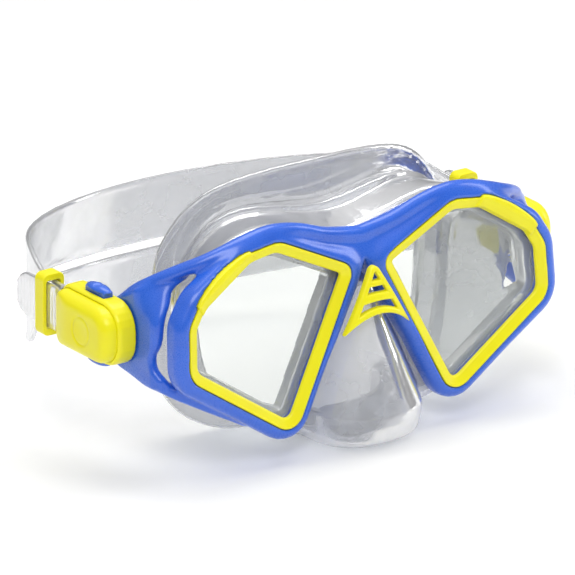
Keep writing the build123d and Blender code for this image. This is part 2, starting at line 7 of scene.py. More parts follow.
import bpy
import numpy as np
import openvdb
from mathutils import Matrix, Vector


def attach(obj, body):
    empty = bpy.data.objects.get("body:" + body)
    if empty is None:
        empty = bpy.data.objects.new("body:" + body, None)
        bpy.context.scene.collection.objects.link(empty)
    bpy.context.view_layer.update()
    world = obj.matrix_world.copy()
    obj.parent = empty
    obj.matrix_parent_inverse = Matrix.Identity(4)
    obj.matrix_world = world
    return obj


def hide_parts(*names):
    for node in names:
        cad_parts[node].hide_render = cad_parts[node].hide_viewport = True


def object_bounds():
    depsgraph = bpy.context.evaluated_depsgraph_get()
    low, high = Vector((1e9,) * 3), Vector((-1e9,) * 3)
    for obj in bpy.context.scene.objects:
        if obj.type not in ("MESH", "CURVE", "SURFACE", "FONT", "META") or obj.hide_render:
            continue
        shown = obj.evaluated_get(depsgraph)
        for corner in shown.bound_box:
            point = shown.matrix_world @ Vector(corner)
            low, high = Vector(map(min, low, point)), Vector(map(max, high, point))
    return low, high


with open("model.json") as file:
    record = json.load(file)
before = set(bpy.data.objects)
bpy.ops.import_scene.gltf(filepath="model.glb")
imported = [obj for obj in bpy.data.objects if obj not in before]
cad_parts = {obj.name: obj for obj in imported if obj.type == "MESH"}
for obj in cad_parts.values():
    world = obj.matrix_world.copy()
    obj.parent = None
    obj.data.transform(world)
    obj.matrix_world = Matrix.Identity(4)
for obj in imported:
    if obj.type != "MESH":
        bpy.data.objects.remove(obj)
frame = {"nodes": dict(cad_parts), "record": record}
CAD_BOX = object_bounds()
MM = 0.001


# ---------------------------------------------------------------- materials
def new_material(name):
    """An empty node material, with its node tree and its output node."""
    material = bpy.data.materials.new(name)
    material.use_nodes = True
    tree = material.node_tree
    tree.nodes.clear()
    output = tree.nodes.new("ShaderNodeOutputMaterial")
    return material, tree, output


def noise(tree, scale, detail=4.0, roughness=0.5):
    """Object-space noise at a scale given in cycles per metre."""
    coords = tree.nodes.new("ShaderNodeTexCoord")
    texture = tree.nodes.new("ShaderNodeTexNoise")
    texture.inputs["Scale"].default_value = scale
    texture.inputs["Detail"].default_value = detail
    texture.inputs["Roughness"].default_value = roughness
    tree.links.new(coords.outputs["Object"], texture.inputs["Vector"])
    return texture


def ramp(tree, source, low, high, start=0.35, end=0.65):
    """Maps a 0-1 value to a range between two colours or two greys."""
    node = tree.nodes.new("ShaderNodeValToRGB")
    elements = node.color_ramp.elements
    elements[0].position, elements[1].position = start, end
    for element, value in ((elements[0], low), (elements[1], high)):
        element.color = (*value, 1) if isinstance(value, tuple) else (value, value, value, 1)
    tree.links.new(source, node.inputs["Fac"])
    return node.outputs["Color"]


def bump(tree, source, strength, distance):
    """Normals that follow a texture as relief; the distance is in metres."""
    node = tree.nodes.new("ShaderNodeBump")
    node.inputs["Strength"].default_value = strength
    node.inputs["Distance"].default_value = distance
    tree.links.new(source, node.inputs["Height"])
    return node.outputs["Normal"]


def moulded_plastic(name, colour, darker, gloss=0.3, coat=0.25, subsurface=0.0):
    """Injection-moulded plastic: soft gloss, faint flow mottling and fine handling marks."""
    material, tree, output = new_material(name)
    shader = tree.nodes.new("ShaderNodeBsdfPrincipled")
    mottle = noise(tree, 90, 3)
    marks = noise(tree, 2600, 6, 0.6)
    tree.links.new(
        ramp(tree, mottle.outputs["Fac"], darker, colour, 0.25, 0.6), shader.inputs["Base Color"]
    )
    tree.links.new(
        ramp(tree, marks.outputs["Fac"], gloss - 0.05, gloss + 0.07), shader.inputs["Roughness"]
    )
    tree.links.new(bump(tree, marks.outputs["Fac"], 0.04, 0.00005), shader.inputs["Normal"])
    shader.inputs["Coat Weight"].default_value = coat
    shader.inputs["Coat Roughness"].default_value = 0.2
    shader.inputs["Subsurface Weight"].default_value = subsurface
    shader.inputs["Subsurface Radius"].default_value = (0.004, 0.003, 0.001)
    shader.inputs["IOR"].default_value = 1.5
    tree.links.new(shader.outputs["BSDF"], output.inputs["Surface"])
    return material


def lamps_pass(tree, shader, tint):
    """Lets lamp light through a clear material, so that what lies behind it isn't in the dark."""
    path = tree.nodes.new("ShaderNodeLightPath")
    through = tree.nodes.new("ShaderNodeBsdfTransparent")
    through.inputs["Color"].default_value = (*tint, 1)
    mix = tree.nodes.new("ShaderNodeMixShader")
    tree.links.new(path.outputs["Is Shadow Ray"], mix.inputs["Fac"])
    tree.links.new(shader, mix.inputs[1])
    tree.links.new(through.outputs["BSDF"], mix.inputs[2])
    return mix.outputs["Shader"]


def clear_silicone(name):
    """Clear silicone rubber: bends light a little and scatters some of it as a soft grey haze."""
    material, tree, output = new_material(name)
    cloud = noise(tree, 60, 3)
    skin = noise(tree, 900, 4)
    ripple = bump(tree, skin.outputs["Fac"], 0.04, 0.0002)
    clear = tree.nodes.new("ShaderNodeBsdfPrincipled")
    tree.links.new(
        ramp(tree, cloud.outputs["Fac"], (0.84, 0.845, 0.86), (0.87, 0.875, 0.89)),
        clear.inputs["Base Color"],
    )
    tree.links.new(ramp(tree, skin.outputs["Fac"], 0.06, 0.13), clear.inputs["Roughness"])
    clear.inputs["Transmission Weight"].default_value = 1.0
    clear.inputs["IOR"].default_value = 1.36
    haze = tree.nodes.new("ShaderNodeBsdfPrincipled")
    tree.links.new(
        ramp(tree, cloud.outputs["Fac"], (0.42, 0.43, 0.455), (0.48, 0.49, 0.515)),
        haze.inputs["Base Color"],
    )
    haze.inputs["Roughness"].default_value = 0.3
    mix = tree.nodes.new("ShaderNodeMixShader")
    tree.links.new(ramp(tree, cloud.outputs["Fac"], 0.33, 0.40), mix.inputs["Fac"])
    tree.links.new(clear.outputs["BSDF"], mix.inputs[1])
    tree.links.new(haze.outputs["BSDF"], mix.inputs[2])
    for shader in (clear, haze):
        tree.links.new(ripple, shader.inputs["Normal"])
    lit = lamps_pass(tree, mix.outputs["Shader"], (0.8, 0.81, 0.83))
    tree.links.new(lit, output.inputs["Surface"])
    return material


def lens_glass(name):
    """Tempered glass: clear, with a light grey-green tint and a few fine wipe marks."""
    material, tree, output = new_material(name)
    shader = tree.nodes.new("ShaderNodeBsdfPrincipled")
    wipes = noise(tree, 300, 5)
    tree.links.new(ramp(tree, wipes.outputs["Fac"], 0.0, 0.02), shader.inputs["Roughness"])
    shader.inputs["Base Color"].default_value = (0.84, 0.86, 0.835, 1)
    shader.inputs["Transmission Weight"].default_value = 1.0
    shader.inputs["IOR"].default_value = 1.5
    lit = lamps_pass(tree, shader.outputs["BSDF"], (0.93, 0.95, 0.94))
    tree.links.new(lit, output.inputs["Surface"])
    return material


def turned_steel(name):
    """Turned steel: grey metal with fine tool marks."""
    material, tree, output = new_material(name)
    shader = tree.nodes.new("ShaderNodeBsdfPrincipled")
    marks = noise(tree, 4000, 4)
    tree.links.new(
        ramp(tree, marks.outputs["Fac"], (0.5, 0.5, 0.52), (0.66, 0.66, 0.68)),
        shader.inputs["Base Color"],
    )
    tree.links.new(ramp(tree, marks.outputs["Fac"], 0.22, 0.36), shader.inputs["Roughness"])
    shader.inputs["Metallic"].default_value = 1.0
    tree.links.new(shader.outputs["BSDF"], output.inputs["Surface"])
    return material


# name, colour, darker mottle, gloss (roughness), clear coat, subsurface share
BLUE = moulded_plastic("blue_plastic", (0.022, 0.13, 0.70), (0.018, 0.11, 0.63), 0.28, 0.5)
YELLOW = moulded_plastic("yellow_plastic", (0.90, 0.84, 0.0), (0.88, 0.79, 0.0), 0.34, 0.05, 0.12)
INNER = moulded_plastic("inner_nylon", (0.05, 0.05, 0.055), (0.035, 0.035, 0.04), 0.45, 0.0)
SILICONE = clear_silicone("clear_silicone")
GLASS = lens_glass("lens_glass")
STEEL = turned_steel("pin_steel")

FINISHES = {
    "blue_frame": BLUE,
    "blue_button": BLUE,
    "yellow_trim": YELLOW,
    "lens_glass": GLASS,
    "clear_silicone": SILICONE,
    "steel": STEEL,
    "inner_plastic": INNER,
}
for part in frame["record"]["subparts"]:
    node = frame["nodes"][part["node"]]
    node.data.materials.clear()
    node.data.materials.append(FINISHES[part["material_slot"]])


# ---------------------------------------------------------------- smooth solids from distance fields
FRONT_Y = CAD_BOX[0].y / MM + 16.1  # drawing y = 0 in the row frame, just behind the lens plane
FLOOR_Z = 2.5  # drawing z = 0 above the floor
TILT = math.radians(4.0)  # the lens plane leans back towards its top
LENS_FOOT_Y = -4.0  # where the lens plane meets drawing z = 0
BUCKLE_Z = 49.0  # middle height of the buckles and of the strap's tails
SIDES = (("left", 1), ("right", -1))


def to_row(points, side=1):
    """Drawing millimetres (x, y, z), mirrored for side -1, to row-frame metres."""
    return (np.asarray(points) * (side, 1, 1) + (0.0, FRONT_Y, FLOOR_Z)) * MM


def tilted_to_drawing(d, v):
    """Depth d in front of the lens plane and height v up it, to drawing y and z."""
    y = LENS_FOOT_Y - d * math.cos(TILT) + v * math.sin(TILT)
    z = d * math.sin(TILT) + v * math.cos(TILT)
    return y, z


def drawing_to_tilted(y, z):
    """The reverse of tilted_to_drawing."""
    d = -(y - LENS_FOOT_Y) * math.cos(TILT) + z * math.sin(TILT)
    v = (y - LENS_FOOT_Y) * math.sin(TILT) + z * math.cos(TILT)
    return d, v


def tilted_to_row(points, side=1):
    """Lens-plane coordinates (u across, d forward, v up) to row-frame metres."""
    u, d, v = points.T
    return to_row(np.stack((u, *tilted_to_drawing(d, v)), 1), side)


def rounded_outline(corners, radii, steps=6):
    """A closed outline with each corner rounded by a short arc."""
    corners = [np.array(c, float) for c in corners]
    points = []
    for i, (corner, radius) in enumerate(zip(corners, radii)):
        before = corners[i - 1] - corner
        after = corners[(i + 1) % len(corners)] - corner
        if radius <= 0:
            points.append(corner)
            continue
        before_length, after_length = np.linalg.norm(before), np.linalg.norm(after)
        before, after = before / before_length, after / after_length
        half = math.acos(np.clip(before @ after, -1, 1)) / 2
        reach = min(radius / math.tan(half), 0.49 * before_length, 0.49 * after_length)
        radius = reach * math.tan(half)
        middle = (before + after) / np.linalg.norm(before + after)
        centre = corner + middle * radius / math.sin(half)
        start = corner + before * reach - centre
        end = corner + after * reach - centre
        turn = math.atan2(start[0] * end[1] - start[1] * end[0], start @ end)
        for k in range(steps + 1):
            a = turn * k / steps
            c, s = math.cos(a), math.sin(a)
            points.append(centre + (start[0] * c - start[1] * s, start[0] * s + start[1] * c))
    return np.array(points)


def smooth_path(points, steps=4, closed=False):
    """Points along a smooth curve (Catmull-Rom) through a list of points."""
    points = np.array(points, float)
    if closed:
        ends = np.vstack((points[-1], points, points[:2]))
    else:
        ends = np.vstack((2 * points[0] - points[1], points, 2 * points[-1] - points[-2]))
    made = []
    for p0, p1, p2, p3 in zip(ends, ends[1:], ends[2:], ends[3:]):
        for k in range(steps):
            t = k / steps
            made.append(
                0.5 * (2 * p1 + (p2 - p0) * t + (2 * p0 - 5 * p1 + 4 * p2 - p3) * t * t
                       + (3 * p1 - p0 - 3 * p2 + p3) * t ** 3)
            )
    return np.array(made if closed else made + [points[-1]])


def symmetric_outline(half):
    """A closed smooth outline through half a list of (x, z) and its mirror image."""
    return smooth_path(half + [(-x, z) for x, z in reversed(half) if x > 0], 8, closed=True)


def outline_distance(a, b, outline):
    """Signed distance from every (a, b) to a closed outline, negative inside."""
    nearest = np.full(a.shape, 1e9)
    inside = np.zeros(a.shape, bool)
    for (x0, z0), (x1, z1) in zip(outline, np.roll(outline, -1, 0)):
        dx, dz = x1 - x0, z1 - z0
        along = np.clip(((a - x0) * dx + (b - z0) * dz) / (dx * dx + dz * dz + 1e-12), 0, 1)
        nearest = np.minimum(nearest, (a - x0 - along * dx) ** 2 + (b - z0 - along * dz) ** 2)
        crosses = (z0 > b) != (z1 > b)
        slope = (x1 - x0) * (b - z0) / (z1 - z0 + 1e-12) + x0
        inside ^= crosses & (a < slope)
    return np.where(inside, -1, 1) * np.sqrt(nearest)


def union(a, b, blend=0.0):
    """The nearer of two solids, flowing into each other over a blend width."""
    if not blend:
        return np.minimum(a, b)
    h = np.maximum(blend - np.abs(a - b), 0) / blend
    return np.minimum(a, b) - h * h * blend / 4


def both(a, b, blend=0.0):
    """What two solids share, with its edge rounded over a blend width."""
    return -union(-a, -b, blend)


def cut(a, b, blend=0.0):
    """The first solid without the second."""
    return both(a, -b, blend)


def slab(t, low, high):
    """The layer between two values of one coordinate."""
    return np.abs(t - (low + high) / 2) - (high - low) / 2


def rounded(a, b, radius):
    """Meets two limits, such as an outline and a depth, with a round edge."""
    reach = np.sqrt(np.maximum(a + radius, 0) ** 2 + np.maximum(b + radius, 0) ** 2)
    return reach + np.minimum(np.maximum(a, b) + radius, 0) - radius


def capsule(x, y, z, start, end):
    """A bar between two places given as (x, y, z, radius), its radius running from one to the other."""
    p = [c - s0 for c, s0 in zip((x, y, z), start)]
    line = [e - s0 for e, s0 in zip(end[:3], start)]
    t = np.clip(sum(c * l for c, l in zip(p, line)) / sum(l * l for l in line), 0, 1)
    away = np.sqrt(sum((c - t * l) ** 2 for c, l in zip(p, line)))
    return away - (start[3] + (end[3] - start[3]) * t)


def bar(x, y, z, places):
    """A round bar along a smooth curve through places given as (x, y, z, radius)."""
    route = smooth_path(places)
    return np.minimum.reduce([capsule(x, y, z, a, b) for a, b in zip(route, route[1:])])


def grid(low, high, step):
    """Three arrays of coordinates over a box, with its low corner and its step along each axis."""
    low, high = np.array(low, float), np.array(high, float)
    step = np.ones(3) * step
    counts = np.ceil((high - low) / step).astype(int) + 1
    axes = [low[i] + step[i] * np.arange(counts[i]) for i in range(3)]
    return np.meshgrid(*axes, indexing="ij"), low, step


def mirrored(half, low, step):
    """A field given for x >= 0 only, joined to its mirror image, and the whole's low corner."""
    return np.concatenate((half[:0:-1], half), 0), low - ((half.shape[0] - 1) * step[0], 0, 0)


def bake(piece):
    """Applies a piece's modifiers to its mesh."""
    depsgraph = bpy.context.evaluated_depsgraph_get()
    made = bpy.data.meshes.new_from_object(piece.evaluated_get(depsgraph))
    piece.modifiers.clear()
    old = piece.data
    piece.data = made
    bpy.data.meshes.remove(old)


FIELD_REACH = 3.0  # a field is kept this many voxels to either side of its surface


def solid(name, field, low, step, material, places=to_row, smooth=2, flip=False):
    """A closed smooth mesh of the surface where a field is zero; flip is for a mirrored one."""
    volume = openvdb.FloatGrid(background=FIELD_REACH)
    near = np.clip(field / step.min(), -FIELD_REACH, FIELD_REACH)
    volume.copyFromArray(near.astype(np.float32))
    points, quads = volume.convertToQuads(isovalue=0.0)
    points = places(points * step + low)
    mesh = bpy.data.meshes.new(name)
    if not flip:
        quads = quads[:, ::-1]
    mesh.from_pydata(points.tolist(), [], quads.tolist())
    mesh.update()
    mesh.polygons.foreach_set("use_smooth", [True] * len(mesh.polygons))
    piece = bpy.data.objects.new(name, mesh)
    bpy.context.scene.collection.objects.link(piece)
    mesh.materials.append(material)
    relax = piece.modifiers.new("relax", "SMOOTH")
    relax.factor, relax.iterations = 0.5, smooth
    bake(piece)
    return piece


def stands_for(piece, body, slot, *nodes):
    """Puts a finished piece on its body in place of CAD nodes."""
    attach(piece, body)
    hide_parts(*nodes)


# ---------------------------------------------------------------- frame
# outer outline of one bezel, and the bridge between both lenses, in the lens plane
BEZEL_CORNERS = [
    (5.6, 65.5), (38.1, 81.5), (52.0, 79.5), (73.0, 65.5), (78.0, 57.0), (78.8, 37.6), (34.5, 7.6),
]
BEZEL_RADII = [5, 11, 11, 10, 9, 9, 7]
EYE = rounded_outline(BEZEL_CORNERS, BEZEL_RADII)
EYE_COARSE = rounded_outline(BEZEL_CORNERS, BEZEL_RADII, 3)
WEB = np.array([
    (0, 76.5), (20, 81.5), (36, 84), (45, 60), (30, 22), (15.2, 40), (0, 66.5), (-15.2, 40), (-20, 81.5),
])
# brow bar and cheek bar (x, y, z, radius), then the side panel between them in (y, z)
BROW = [
    (-8, 7.0, 75.6, 2.6), (0, 7.0, 75.3, 2.6), (14, 6.4, 77.6, 2.6), (27, 5.8, 82.2, 2.6),
    (38, 5.6, 84.2, 2.6), (47, 6.0, 83.2, 2.6), (57, 7.2, 80.2, 2.6), (65, 10, 76.9, 2.6),
    (72, 14.5, 73.6, 2.6), (78.5, 20, 69.6, 2.6), (82.0, 27.5, 64.4, 2.6), (82.9, 34.4, 58.6, 2.6),
]
CHEEK = [
    (83.2, 36.0, 37.2, 2.2), (82.6, 24.0, 34.4, 2.4), (80.4, 12.0, 31.6, 2.5), (73.0, 6.5, 27.2, 2.3),
    (62.0, 5.0, 20.8, 2.0), (52.0, 4.6, 14.6, 1.2),
]
PANEL = smooth_path(
    [
        (37.6, 47), (37.4, 57.5), (34, 60.6), (27, 65), (19, 69.8), (14.6, 72.0), (13.4, 70.4),
        (14.2, 67), (11.8, 62), (10.8, 55.5), (11.6, 48.5), (14.2, 42.8), (13.0, 38.6), (9.6, 35.2),
        (11.4, 32.2), (18, 31.8), (27, 33.6), (35, 34.4), (37.4, 38),
    ],
    closed=True,
)
RING_WIDTH, RING_DEPTH = 4.2, 8.8  # past the bezel's outline, and behind the lens plane
TEMPLE_WIDENING = 0.7  # what the ring gains in width between x = 60 and 80
WEB_DEPTH = 9.4
PANEL_X, PANEL_HALF = 83.9, 1.9
PANEL_OUTER_X = 85.95  # the buckle swings just outside this
PIVOT_Y, PIVOT_RADIUS = 30.0, 4.1
BEZEL_SEAT, SEAL_SEAT = 3.05, 8.5  # depths of the pockets for the bezel and for the lens with its seal
CLEARANCE = 0.12  # between a bezel and the frame


def frame_field(u, d, v):
    """The frame as one solid: a ring round each lens, brow bar, bridge, and the Y-shaped sides."""
    x = np.abs(u)
    y, z = tilted_to_drawing(d, v)
    flat = x[:, 0, :], v[:, 0, :]
    eye = outline_distance(*flat, EYE)[:, None, :]
    web = outline_distance(*flat, WEB)[:, None, :]
    ring_width = RING_WIDTH + TEMPLE_WIDENING * np.clip((x - 60) / 20, 0, 1)
    ring = both(rounded(eye - ring_width, d, 4.1), -d - RING_DEPTH, 2)
    bridge_front = d + 1.3 + 0.3 * np.clip(v - 66, 0, 20)
    bridge = both(rounded(web, bridge_front, 1.5), -d - WEB_DEPTH, 2)
    body = union(ring, bridge, 4)
    body = union(body, bar(x, y, z, BROW), 2.2)
    panel_outline = outline_distance(y[0], z[0], PANEL)[None]
    curl = 0.3 * np.clip(14 - y, 0, 8) + 0.0045 * np.clip(z - 54, 0, 20) ** 2 * np.clip(24 - y, 0, 12)
    panel = rounded(panel_outline, np.abs(x - PANEL_X + curl) - PANEL_HALF, 1.4)
    sides = union(panel, bar(x, y, z, CHEEK), 3)
    body = union(body, sides, 1.6)
    pivot_hole = np.sqrt((y - PIVOT_Y) ** 2 + (z - BUCKLE_Z) ** 2) - PIVOT_RADIUS
    body = cut(np.maximum(body, x - PANEL_OUTER_X), np.maximum(pivot_hole, slab(x, 70, 90)))
    body = cut(body, np.maximum(eye - 0.1, -d - BEZEL_SEAT), 0.3)
    body = cut(body, np.maximum(eye + 2.1, -d - SEAL_SEAT))
    body = cut(body, eye + 4.2)
    shoulder = shoulder_outline(eye, *np.broadcast_arrays(x, v))
    return cut(body, np.maximum(shoulder - CLEARANCE, -d - 2.0))


def make_frame():
    (u, d, v), low, step = grid((0, -43, -1), (87.6, 3, 92), 0.6)
    whole, low = mirrored(frame_field(u, d, v), low, step)
    piece = solid("frame_shell", whole, low, step, BLUE, tilted_to_row, smooth=3)
    stands_for(piece, "frame", "blue_frame", "frame")


# ---------------------------------------------------------------- bezels
SHOULDER_START, SHOULDER_END = np.array((51.0, 80.6)), np.array((74.4, 64.6))
SHOULDER_LEAST, SHOULDER_BULGE = 0.9, 1.7  # past the bezel's outline, at the ends and more in the middle
BEZEL_WIDTH, SHOULDER_WIDTH = 4.1, 3.6
BEZEL_SLOPE, SHOULDER_SLOPE = 0.42, 0.32  # how steeply their faces fall towards the glass


def shoulder_outline(eye, x, v):
    """Distance to the raised shoulder on a bezel's outer top edge, which bulges past the ring."""
    run = SHOULDER_END - SHOULDER_START
    t = ((x - SHOULDER_START[0]) * run[0] + (v - SHOULDER_START[1]) * run[1]) / (run @ run)
    bulge = SHOULDER_LEAST + SHOULDER_BULGE * np.sin(np.pi * np.clip(t, 0, 1))
    ends = (np.abs(t - 0.5) - 0.5) * np.linalg.norm(run)
    # keeps clear of the bezel's far side, more than 12 mm under the shoulder
    under = (SHOULDER_START[1] - v) * run[0] / 30 + (x - SHOULDER_START[0]) * run[1] / 30 - 12
    return np.maximum(np.maximum(eye - bulge, ends), under)


def bezel_field(u, d, v):
    """A ring that slopes down towards the glass, with its raised shoulder."""
    flat = u[:, 0, :], v[:, 0, :]
    eye = outline_distance(*flat, EYE)[:, None, :]
    inward = np.clip(eye, -5, 0)
    width = np.maximum(eye + CLEARANCE, -(eye + BEZEL_WIDTH))
    ring = rounded(width, d - 0.3 - BEZEL_SLOPE * inward, 0.5)
    shoulder = np.maximum(shoulder_outline(eye, u, v), -(eye + SHOULDER_WIDTH))
    crown = rounded(shoulder, d - 1.15 - SHOULDER_SLOPE * inward + 0.1 * np.clip(eye, 0, 4), 0.8)
    crown = np.maximum(crown, -d - 1.9)
    return np.maximum(union(ring, crown, 0.3), -d - 2.95)


def make_bezels():
    (u, d, v), low, step = grid((3, -4, 4), (82, 3, 86), (0.4, 0.3, 0.4))
    field = bezel_field(u, d, v)
    for side, sign in SIDES:
        places = functools.partial(tilted_to_row, side=sign)
        piece = solid(f"bezel_ring_{side}", field, low, step, YELLOW, places, flip=sign < 0)
        stands_for(piece, "frame", "yellow_trim", f"bezel_{side}")


# ---------------------------------------------------------------- nose grille
GRILLE_APEX, GRILLE_TOP = 67.8, 65.3  # where the sides would meet, and the flat top below that
GRILLE_SPREAD, GRILLE_RAIL = 0.553, 2.1  # half width gained per mm down, and the rails' width
GRILLE_THICKNESS, GRILLE_BULGE = 2.9, 29.0  # the bulge is the radius its front is bent to
# each opening's low and high edge at the middle, each with how fast it falls to the sides
GRILLE_OPENINGS = [(60.2, 0.0, 63.4, 0.0), (55.8, 0.012, 58.1, 0.008), (50.6, 0.032, 52.9, 0.018)]


def grille_field(x, y, z):
    """An A-shaped guard over the nose ridge, with an arched foot and three openings."""
    across = np.abs(x)
    square = math.hypot(1, GRILLE_SPREAD)
    half_width = (GRILLE_APEX - z) * GRILLE_SPREAD
    outer = (across - half_width) / square
    foot = (48.3 - 0.032 * x ** 2 - z) * 0.85
    shape = both(np.maximum(outer, foot), z - GRILLE_TOP, 1.5)
    for low, low_fall, high, high_fall in GRILLE_OPENINGS:
        opening = np.maximum(low - low_fall * x ** 2 - z, z - high + high_fall * x ** 2) * 0.9
        opening = np.maximum(outer + GRILLE_RAIL, opening)
        shape = np.maximum(shape, -opening)
    front = -2.9 - 0.2486 * (67 - z) + GRILLE_BULGE - np.sqrt(GRILLE_BULGE ** 2 - x ** 2)
    return rounded(shape, slab(y - front, 0.0, GRILLE_THICKNESS), 0.75)


def make_grille():
    (x, y, z), low, step = grid((-16.5, -12, 37), (16.5, 3, 67), 0.25)
    piece = solid("nose_guard", grille_field(x, y, z), low, step, YELLOW)
    stands_for(piece, "frame", "yellow_trim", "nose_grille")


# ---------------------------------------------------------------- buckles
BUCKLE = rounded_outline([(21.8, 37.0), (59.4, 37.0), (59.4, 61.0), (21.8, 61.0)], [10, 6, 6, 10])
BASE_FOOT, BASE_TOP, CHANNEL_FLOOR = 86.35, 94.2, 89.1
COVER_FOOT, COVER_CEILING, COVER_TOP, COVER_ROUND = 91.75, 96.45, 99.2, 4.6
PAD_Y, PAD_RADIUS = 38.5, 5.2  # the ring-shaped groove on the cover
DISH_RADIUS = 24.45  # of the shallow dish that a thumb rests in
CHANNEL_HALF_WIDTH = 8.95
ROLLER_X, ROLLER_Y = 92.65, 29.0
BUTTON_X, BUTTON_Y, BUTTON_CAP = 89.2, 41.0, 13.3  # the cap's foot is above the buckle's middle


def waist(y):
    """How much narrower per side the strap and its channel are where they round the roller."""
    return 1.7 * np.clip((32 - y) / 5, 0, 1)


def buckle_fields(x, y, z):
    """The yellow base and its pillow-shaped cover, both hollow for the strap."""
    outline = outline_distance(y[0], z[0], BUCKLE)[None]
    high = np.abs(z - BUCKLE_Z)
    in_channel = high - CHANNEL_HALF_WIDTH + waist(y)
    base = np.maximum(rounded(outline, x - BASE_TOP, 2.4), BASE_FOOT - x)
    base = cut(base, np.maximum(outline + 1.3, 91.5 - x), 0.4)
    channel = np.maximum(np.maximum(in_channel, CHANNEL_FLOOR - x), 24.6 - y)
    base = cut(base, np.maximum(channel, outline + 1.6))
    button_slot = np.maximum(np.abs(y - BUTTON_Y) - 6.1, np.abs(x - BUTTON_X) - 2.1)
    base = cut(base, np.maximum(button_slot, 8.7 - high), 0.3)
    base = cut(base, np.sqrt((y - PIVOT_Y) ** 2 + (z - BUCKLE_Z) ** 2) - 5.6)
    cover = rounded(outline + 1.38, x - COVER_TOP, COVER_ROUND)
    facet = (x - COVER_TOP) * 0.96 + (y - 50.5) * 0.30
    cover = both(cover, facet, 1.2)
    from_pad = np.sqrt((y - PAD_Y) ** 2 + (z - BUCKLE_Z) ** 2)
    groove = np.sqrt((from_pad - PAD_RADIUS) ** 2 + (x - COVER_TOP) ** 2) - 0.42
    dish = np.sqrt(from_pad ** 2 + (x - COVER_TOP - 24.0) ** 2) - DISH_RADIUS
    cover = cut(cut(cover, dish, 0.4), groove, 0.4)
    hollow = np.maximum(x - COVER_CEILING, ROLLER_Y - y)
    hollow = np.minimum(hollow, np.sqrt((x - ROLLER_X) ** 2 + (y - ROLLER_Y) ** 2) - 3.75)
    cover = cut(cover, np.maximum(np.maximum(hollow, in_channel), outline + 3.0))
    cover = np.maximum(cover, COVER_FOOT - x)
    return base, cover


def button_field(x, y, z):
    """A thumb button: a stem in the buckle's slot and a rounded cap with a dent."""
    across, along, up = x - BUTTON_X, y - BUTTON_Y, z - BUCKLE_Z
    stem = rounded(np.maximum(np.abs(along) - 5.9, np.abs(across) - 1.95), slab(up, 10.0, 13.6), 0.5)
    cap = np.sqrt((across / 2.9) ** 2 + (along / 6.9) ** 2 + ((up - BUTTON_CAP) / 2.0) ** 2) - 1
    cap = np.maximum(cap * 2.0, BUTTON_CAP - up)
    dent = np.sqrt((across / 2) ** 2 + along ** 2 + (up - 16.2) ** 2) - 1.7
    return cut(union(stem, cap, 0.4), dent, 0.6)


def button_to_row(points, side, up):
    """Places the left top button's points for any of the four buttons."""
    return to_row((points - (0, 0, BUCKLE_Z)) * (1, 1, up) + (0, 0, BUCKLE_Z), side)


def make_buckles():
    (x, y, z), low, step = grid((85.6, 21.6, 36.2), (99.9, 60.2, 61.8), (0.3, 0.35, 0.35))
    base, cover = buckle_fields(x, y, z)
    button_grid, button_low, button_step = grid((85.8, 33.6, 58.4), (92.6, 48.4, 64.8), 0.25)
    button = button_field(*button_grid)
    for side, sign in SIDES:
        body, places = f"buckle_{side}", functools.partial(to_row, side=sign)
        piece = solid(f"buckle_body_{side}", base, low, step, YELLOW, places, flip=sign < 0)
        stands_for(piece, body, "yellow_trim", f"buckle_base_{side}")
        piece = solid(f"buckle_pad_{side}", cover, low, step, YELLOW, places, flip=sign < 0)
        stands_for(piece, body, "yellow_trim", f"buckle_cover_{side}")
        for place, up in (("top", 1), ("bottom", -1)):
            piece = solid(
                f"thumb_button_{place}_{side}", button, button_low, button_step, BLUE,
                functools.partial(button_to_row, side=sign, up=up), flip=sign * up < 0,
            )
            stands_for(piece, f"button_{place}_{side}", "blue_button", f"release_button_{place}_{side}")


# ---------------------------------------------------------------- skirt
# the wall behind the frame, the wall at the face and the flange's rim, in (x, z)
FRONT_WALL = symmetric_outline([(0, 74), (38, 83.5), (64, 74), (77, 52), (66, 24), (36, 6), (0, 4)])
REAR_WALL = symmetric_outline([(0, 83.5), (36, 81), (51, 66), (53.5, 44), (49, 18), (33, 3), (0, 2)])
FLANGE_EDGE = symmetric_outline(
    [(0, 94.5), (41, 90), (60, 71.5), (63, 46), (59, 14), (37, -1.5), (0, -1.5)]
)
FACE_RADIUS, FACE_Y = 229.0, 37.5  # the bend of the flange towards the face, and its y at the middle
WALL_THICKNESS = 2.1
SKIRT_FOOT = -2.5
NOSE_REAR = 15.5
NOSE_HEIGHTS = [-3, 3, 12, 30, 47, 58]
NOSE_HALF_WIDTHS = [19, 22, 22.5, 15, 7.2, 3]
NOSE_FRONT_HEIGHTS = [-3, 2, 8, 12, 30, 47, 58]
NOSE_FRONTS = [-7, -13.2, -15.6, -16, -10, -3.8, 0.5]
NOSE_SQUARENESS = 2.6  # exponent of its rounded outline; 2 is an ellipse
LIP_TOP, LIP_WIDTH = 8.5, 1.1  # the rolled edge of the notch over the upper lip


